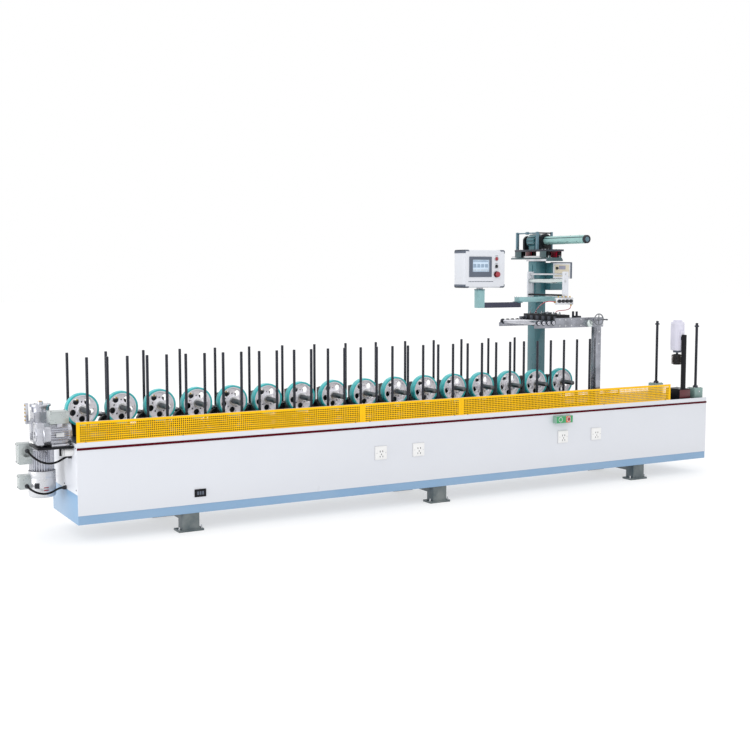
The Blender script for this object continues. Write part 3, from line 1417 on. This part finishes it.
def carriage_parts():
    """Carriage on the rails: painted by its zones, with wipers, bolts, rings and fins."""
    plate_top = 1966
    top = 2117
    zones = ((2, (1295, 60, 1895), (1350, 505, 1949.8)), (1, (1410, 60, 1895), (1475, 505, 1949.8)),
             (5, (1299, 49, 1949.9), (1481, 505, plate_top)),
             (4, (1300, 195, plate_top), (1331, 505, top)),
             (4, (1462, 195, plate_top), (1481, 219, top)),
             (0, (1310, 219, 2094), (1331, 479, top)),
             (0, (1331, 199, 2100), (1462, 219, top)),
             (3, (REEL_X - 64, 289, plate_top), (REEL_X + 64, 391, 2104)))
    softened("carriage", "carriage_body", cast_black(), 2, "carriage", zones,
             (block_red(), dark_teal(), teal_paint(), arm_grey(), dark_steel()))
    bolts, seals, trim = Shape(), Shape(), Shape()
    for x in RAILS_X:
        for y in (62, 412):
            for end in (y - 2.5, y + 88):
                for x0, x1, z0 in ((-23, -11.5, 1900), (11.5, 23, 1900), (-23, 23, 1916)):
                    seals.box((x + x0, end, z0), (x + x1, end + 2.5, 1948), 1)
            bolts.bolt_grid("Z", plate_top, (x - 14, x + 14), (y + 20, y + 68), 4)
    bolts.bolt_circle("Y", 290, (REEL_X, REEL_Z), 50, 3.6, 8, 22, -1)
    bolts.bolt_circle("Y", 192, (REEL_X, REEL_Z), 46, 3.6, 8, 22, -1)
    trim.ring("Y", 187, 192, (REEL_X, REEL_Z), 36.5, 56, 1.5)
    trim.ring("Y", 286, 290, (REEL_X, REEL_Z), 21, 44, 1.5)
    for k in range(12):
        t = math.radians(30 * k)
        fin_x, fin_z = REEL_X + 60 * math.cos(t), REEL_Z + 60 * math.sin(t)
        if fin_z > plate_top + 12:
            trim.bar("Y", 296, 384, (fin_x, fin_z), 2.6, 0.6, 10)
    for x, y in ((1319, 490), (1319, 209), (1471, 209)):
        bolts.bolt("Z", (x, y, 2116), 4)
    piece("carriage_bolts", bolts, bright_steel(), "carriage")
    piece("carriage_wipers", seals, rubber_black(), "carriage")
    piece("carriage_trim", trim, cast_black(), "carriage")


def reel():
    """Reel shaft with three clamping pads, their screws, a collar and an end cap."""
    low = corners("reel_shaft")[0]
    r = 35
    shaft, pads, collar, cap = Shape(), Shape(), Shape(), Shape()
    nose = -332
    journal_at = 189 - nose
    length = 470 - nose
    shaft.lathe([(0, 0), (r - 1.5, 0), (r - 1.5, journal_at - 10), (r - 3, journal_at),
                 (20, journal_at), (20, length - 1), (19, length), (0, length)],
                (REEL_X, nose, REEL_Z), "Y", 64)
    for k in range(3):
        a0 = 90 + 120 * k
        outline = (arc(REEL_X, REEL_Z, r, a0 - 52, a0 + 52, 20)
                   + arc(REEL_X, REEL_Z, r - 3, a0 + 52, a0 - 52, 20))
        pads.prism(outline, nose + 4, 184, "Y")
    piece("reel_shaft_core", shaft, dark_teal(), "reel_shaft", ("reel_shaft",))
    piece("reel_shaft_pads", pads, shaft_teal(), "reel_shaft", ("reel_shaft",))
    collar.lathe([(0, 4), (22, 4), (24, 0), (31, 0), (34, 4), (34, 21), (0, 21)],
                 (REEL_X, low[1], REEL_Z), "Y", 48)
    piece("reel_collar", collar, dark_moulded(), "reel_shaft", ("reel_shaft",))
    cap.lathe([(0, 0), (8, 0), (9, 1), (9, 3), (20, 3.4), (21.5, 4.5), (21.5, 8), (0, 8)],
              (REEL_X, low[1], REEL_Z), "Y", 36)
    piece("reel_end_cap", cap, arm_grey(), "reel_shaft")
    heads = Shape()
    for k in range(3):
        a = math.radians(90 + 120 * k)
        for y in (-250, -130, -10, 110):
            spot = (REEL_X + (r - 0.4) * math.cos(a), y, REEL_Z + (r - 0.4) * math.sin(a))
            one = Shape()
            one.screw("Z", (0, 0, 0), 3.4)
            bmesh.ops.rotate(one.bm, verts=one.bm.verts, cent=(0, 0, 0),
                             matrix=Matrix.Rotation(math.radians(90) - a, 3, "Y"))
            bmesh.ops.translate(one.bm, vec=spot, verts=one.bm.verts)
            merge(heads, one)
    piece("reel_pad_screws", heads, dark_steel(), "reel_shaft")


def tension_controller():
    """Tension box with a lid, an inset front, a dark display and knobs."""
    low, high = (1420, 112, 1719), (1620, 150, 1854)
    softened("tension_box", "tension_case", white_sheet(), 2.5,
             zones=((1, (1419, 150.1, 1619), (1561, 247, 1855)),), extra=(teal_paint(),))
    y = low[1]
    top, inset, display, knobs = Shape(), Shape(), Shape(), Shape()
    top.box((low[0] - 2, y - 2, high[2] - 5), (high[0] + 2, high[1] + 2, high[2] + 5), 2.5)
    top.box((high[0] - 16, y - 2.5, low[2] - 1), (high[0] + 2, y + 20, high[2] - 4), 2)
    inset.box((low[0] + 12, y - 3, low[2] + 16), (high[0] - 30, y, high[2] - 16), 2, 3)
    display.box((low[0] + 58, y - 4.5, low[2] + 78), (low[0] + 128, y - 2.5, high[2] - 26), 1)
    for k in range(4):
        knobs.lathe([(0, 0), (6, 0), (7, 1), (7, 5), (0, 5)],
                    (low[0] + 34 + k * 34, y - 8, low[2] + 38), "Y", 20)
    knobs.lathe([(0, 0), (10, 0), (12, 2), (12, 12), (0, 12)], (low[0] + 34, y - 15, low[2] + 88),
                "Y", 24)
    piece("tension_lid", top, slate_moulded())
    piece("tension_inset", inset, beige_plate())
    piece("tension_display", display, display_glass())
    piece("tension_knobs", knobs, dark_moulded())


def web_rollers():
    """Roller frame with its air manifold, and the two rollers of the web path."""
    softened("roller_frame", "web_roller_frame", white_sheet(), 1.5,
             zones=((3, (1159, -258.5, 1507), (1341, -239, 1567)),
                    (3, (1245, -227, 1744), (1290, 235, 1768)),
                    (1, (1245, -227, 1570), (1290, 235, 1596)),
                    (2, (1170, -273, 1520), (1330, -258.2, 1555))),
             extra=(black_paint(), dark_moulded(), brushed_silver()))
    fittings, bolts, knobs = Shape(), Shape(), Shape()
    for i in range(4):
        x = 1190 + i * 40
        knobs.lathe([(0, 0), (11, 0), (13.5, 2), (14.4, 8), (13, 14), (0, 14)],
                    (x, -273, 1537), "Y", 12)
        fittings.bar("Z", 1566, 1578, (x, -249), 6, 1, 16)
        fittings.bolt("Z", (x, -249, 1566), 7)
    for spot, axis in (((1150, -249, 1530), "X"), ((1322, -249, 1498), "Z")):
        fittings.lathe([(0, 0), (8, 0), (8, 5), (6, 6), (6, 10), (0, 10)], spot, axis, 20)
    for y, sign in ((-240, -1), (248, 1)):
        for x, z, size in ((1257, 1584, 7), (1270, 1756, 7), (1270, 1700, 9)):
            bolts.bolt("Y", (x, y, z), size, sign)
    piece("air_knobs", knobs, dark_moulded())
    piece("air_fittings", fittings, brass_plain())
    piece("roller_frame_bolts", bolts, bright_steel())
    softened("guide_roller", "guide_roller_turned", roller_steel(), 1, "guide_roller")
    softened("lower_roller", "lower_roller_turned", roller_steel(), 1.2, "lower_roller")


slide_base()
carriage_parts()
reel()
tension_controller()
web_rollers()


# ---------------------------------------------------------------- glue station


def glue_station():
    """Side frames on their rods, the glue head, the edge guide and the fittings on them."""
    softened("glue_frame", "glue_side_frames", glue_paint(), 1.8,
             zones=((1, (948, -300, 1345), (1132, 230, 1379)),
                    (1, (1324, -269, 1368), (1356, 199, 1400)),
                    (1, (1536, -269, 1326), (1556, 199, 1346))), extra=(chrome(),))
    softened("glue_head", "glue_head_block", black_paint(), 2.5)
    softened("edge_guide", "edge_guide_block", guide_black(), 2, "edge_guide")
    bolts, clamps, heaters, strips = Shape(), Shape(), Shape(), Shape()
    for y, sign in ((-284, -1), (214, 1)):
        bolts.bolt_grid("Y", y, (1180, 1240, 1300, 1400, 1580, 1628), (1336, 1386), 6, sign)
        for x in (965, 1015, 1065, 1115):
            ring_start = y - 1 if sign < 0 else y - 15
            clamps.ring("Y", ring_start, ring_start + 16, (x, ROD_Z), 15.4, 22, 1.5)
            end = sorted((y + sign * 0.5, y + sign * 4))
            clamps.bar("Y", end[0], end[1], (x, ROD_Z), 15.5, 1)
            clamps.bolt("Y", (x, y + sign * 4, ROD_Z), 5, sign)
    top = GLUE_HEAD_TOP
    for y in range(-230, 171, 80):
        heaters.lathe([(0, 0), (8, 0), (8, 10), (6, 12), (6, 22), (0, 23)], (1222, y, top), "Z",
                      20)
        strips.box((1174, y - 20, 1360), (1177, y + 20, 1412), 1)
        bolts.bolt("Z", (1284, y + 20, top), 5)
    for x, y in ((1200, 60), (1268, -120)):
        heaters.lathe([(0, 0), (12, 0), (13, 1), (13, 6), (12, 7), (0, 7)], (x, y, top), "Z", 6)
    heaters.box((1236, -60, top), (1276, 10, top + 16), 3)
    leg_x = 1585
    bolts.bolt_grid("Y", -294, (leg_x,), (1180, 1280), 7, -1)
    strips.box((leg_x - 27, -300, DECK_Z), (leg_x + 31, -224, DECK_Z + 10), 2)
    piece("glue_bolts", bolts, bright_steel())
    piece("rod_clamps", clamps, dark_steel())
    piece("glue_head_fittings", heaters, brushed_dark())
    piece("glue_head_strips", strips, dark_steel())


def hand_wheel():
    """Spoked wheel with a crank knob on a threaded screw."""
    cx, cz, y = 1546, 1383, -338
    rim, knob, screw = Shape(), Shape(), Shape()
    profile = [(46 + 5 * math.cos(a), 5 * math.sin(a))
               for a in (2 * math.pi * k / 16 for k in range(17))]
    rim.lathe(profile, (cx, y, cz), "Y", 56)
    rim.lathe([(0, -10), (10, -10), (12, -8), (12, 8), (10, 10), (0, 10)], (cx, y, cz), "Y", 28)
    rim.spokes("Y", (cx, cz), ((8, -4), (44, -2.6), (44, 2.6), (8, 4)), y - 2.8, y + 2.8, 4)
    knob.lathe([(0, 0), (6, 1), (7.4, 5), (7, 14), (5, 30), (5.4, 38), (6.4, 44), (4, 46), (4, 52),
                (0, 52)], (cx + 46, y - 55, cz), "Y", 24)
    thread = [(0, 0), (8, 0)]
    for k in range(44):
        h = 80 + k * 8
        thread += [(8, h), (7.1, h + 2), (7.1, h + 3), (8, h + 5)]
    thread += [(8, 549), (7, 550), (0, 550)]
    screw.lathe(thread, (cx, y, cz), "Y", 24)
    piece("handwheel_rim", rim, brushed_dark(), "handwheel", ("handwheel",))
    piece("handwheel_crank_knob", knob, brushed_dark(), "handwheel", ("handwheel",))
    piece("lead_screw", screw, turned_steel(), "handwheel", ("handwheel",))


glue_station()
hand_wheel()


# ---------------------------------------------------------------- infeed end

def gate():
    """Clamps and rods of the infeed gate, with their bolts and collars."""
    softened("gate_posts", "gate_clamps", gate_paint(), 3,
             zones=((1, (2730, -262, 752.5), (2760, -234, 1330)),
                    (1, (2730, 234, 752.5), (2760, 262, 1330))), extra=(post_steel(),))
    bolts, collars = Shape(), Shape()
    for s in (-1, 1):
        y = s * POST_Y
        bolts.bolt_grid("Z", 752, (GATE_X - 40, GATE_X + 33), (y - 32, y + 32), 6)
        bolts.bolt("Y", (GATE_X, y + s * 45, 720), 8, s)
        collars.ring("Z", 752, 770, (GATE_X, y), 12.4, 22, 1.5)
        collars.ring("Z", 1290, 1304, (GATE_X, y), 12.4, 20, 1.5)
    piece("gate_bolts", bolts, bright_steel())
    piece("gate_collars", collars, dark_steel())


def brush_unit():
    """Stand and motor of the dust brush, the motor with bands and fine ribs."""
    softened("brush_motor", "brush_motor_stand", black_paint(), 3,
             zones=((1, (2519, -243, 1085.5), (2635, -127, 1353)),
                    (2, (2539, -222, 1064), (2615, -148, 1085))),
             extra=(lavender_paint(), slate_moulded()))
    x, y = 2577, -185
    bolts, bands, maroon = Shape(), Shape(), Shape()
    bolts.bolt_grid("Z", 750, (x - 51, x + 53), (-276, -140), 6)
    for z in (1110, 1310):
        bands.ring("Z", z, z + 10, (x, y), 57.6, 59.5, 0.8)
    bands.spokes("Z", (x, y), ((56, -1.2), (59, -0.8), (59, 0.8), (56, 1.2)), 1126, 1304, 24)
    bands.box((x - 22, y - 66, 1210), (x + 22, y - 55, 1262), 3)
    maroon.box((2516, -292.5, 668), (2640, -289, 742), 3)
    piece("brush_motor_bands", bands, lavender_paint())
    piece("brush_stand_bolts", bolts, bright_steel())
    piece("brush_stand_cover", maroon, maroon_paint())


def bristles():
    """Brush core with rows of fine tapered bristles standing out all round."""
    low, high = corners("dust_brush")
    x, y = (low[0] + high[0]) / 2, (low[1] + high[1]) / 2
    core, hair = Shape(), Shape()
    core.bar("Z", 960, 1050, (x, y), 26, 2, 32)
    core.bar("Z", 1050, 1080, (x, y), 10, 1, 24)
    for z in (959, 1048):
        core.ring("Z", z, z + 3, (x, y), 12, 34, 1)
    piece("brush_core", core, dark_moulded(), "dust_brush", ("dust_brush",))
    for ring_index in range(16):
        z = 965 + ring_index * 5.2
        for k in range(64):
            a = 2 * math.pi * (k + 0.5 * (ring_index % 2) + random.uniform(-0.2, 0.2)) / 64
            reach = 53.5 + random.uniform(-2.2, 0.4)
            dz = random.uniform(-2.4, 2.4)
            c, s = math.cos(a), math.sin(a)
            root = [(x + 25 * c - q * s, y + 25 * s + q * c, z + p)
                    for q, p in ((-1.1, -1), (1.1, -1), (0, 1.2))]
            tip = hair.bm.verts.new((x + reach * c, y + reach * s, z + dz))
            base = [hair.bm.verts.new(v) for v in root]
            hair.bm.faces.new(base)
            for m in range(3):
                hair.bm.faces.new((base[m], base[(m + 1) % 3], tip))
    piece("brush_bristles", hair, bristle(), "dust_brush", ("dust_brush",))


gate()
brush_unit()
bristles()


# ---------------------------------------------------------------- floor, light and the end


def lit_floor():
    """White floor that glows a little, so the shade under the machine stays faint."""
    mat = finish("pale_floor", (0.42, 0.42, 0.42), 0.8, vary=0.004, bump=0.02)
    bsdf = mat.node_tree.nodes["Principled BSDF"]
    bsdf.inputs["Emission Color"].default_value = (1, 1, 1, 1)
    bsdf.inputs["Emission Strength"].default_value = 0.58
    return mat


def studio():
    """Plain pale floor, white surroundings and soft lamps."""
    scene = bpy.context.scene
    scene.view_settings.view_transform = "Standard"
    world = bpy.data.worlds.new("pale_room")
    world.use_nodes = True
    background = world.node_tree.nodes["Background"]
    background.inputs["Color"].default_value = (1.0, 1.0, 1.0, 1)
    background.inputs["Strength"].default_value = 1.0
    scene.world = world
    data = bpy.data.meshes.new("floor")
    r = 60
    data.from_pydata([(-r, -r, 0), (r, -r, 0), (r, r, 0), (-r, r, 0)], [], [(0, 1, 2, 3)])
    floor = bpy.data.objects.new("floor", data)
    scene.collection.objects.link(floor)
    data.materials.append(lit_floor())
    for name, spot, aim, size, power in (
            ("key", (-6.5, -6.5, 6.5), (-0.5, 0, 0.8), 3.0, 90),
            ("front_fill", (3.5, -8.0, 3.5), (1.0, 0, 0.9), 5.0, 30),
            ("top", (1.0, 0.5, 6.0), (0.5, 0, 0.8), 5.0, 36),
            ("end_light", (-9.0, -0.5, 1.6), (-2.8, 0, 0.6), 3.0, 150),
            ("back_fill", (2.0, 8.0, 4.0), (0.0, 0, 0.8), 5.0, 40)):
        lamp = bpy.data.lights.new(name, "AREA")
        lamp.energy = power
        lamp.size = size
        holder = bpy.data.objects.new(name, lamp)
        scene.collection.objects.link(holder)
        holder.location = spot
        holder.rotation_euler = (Vector(aim) - Vector(spot)).to_track_quat("-Z", "Y").to_euler()


studio()
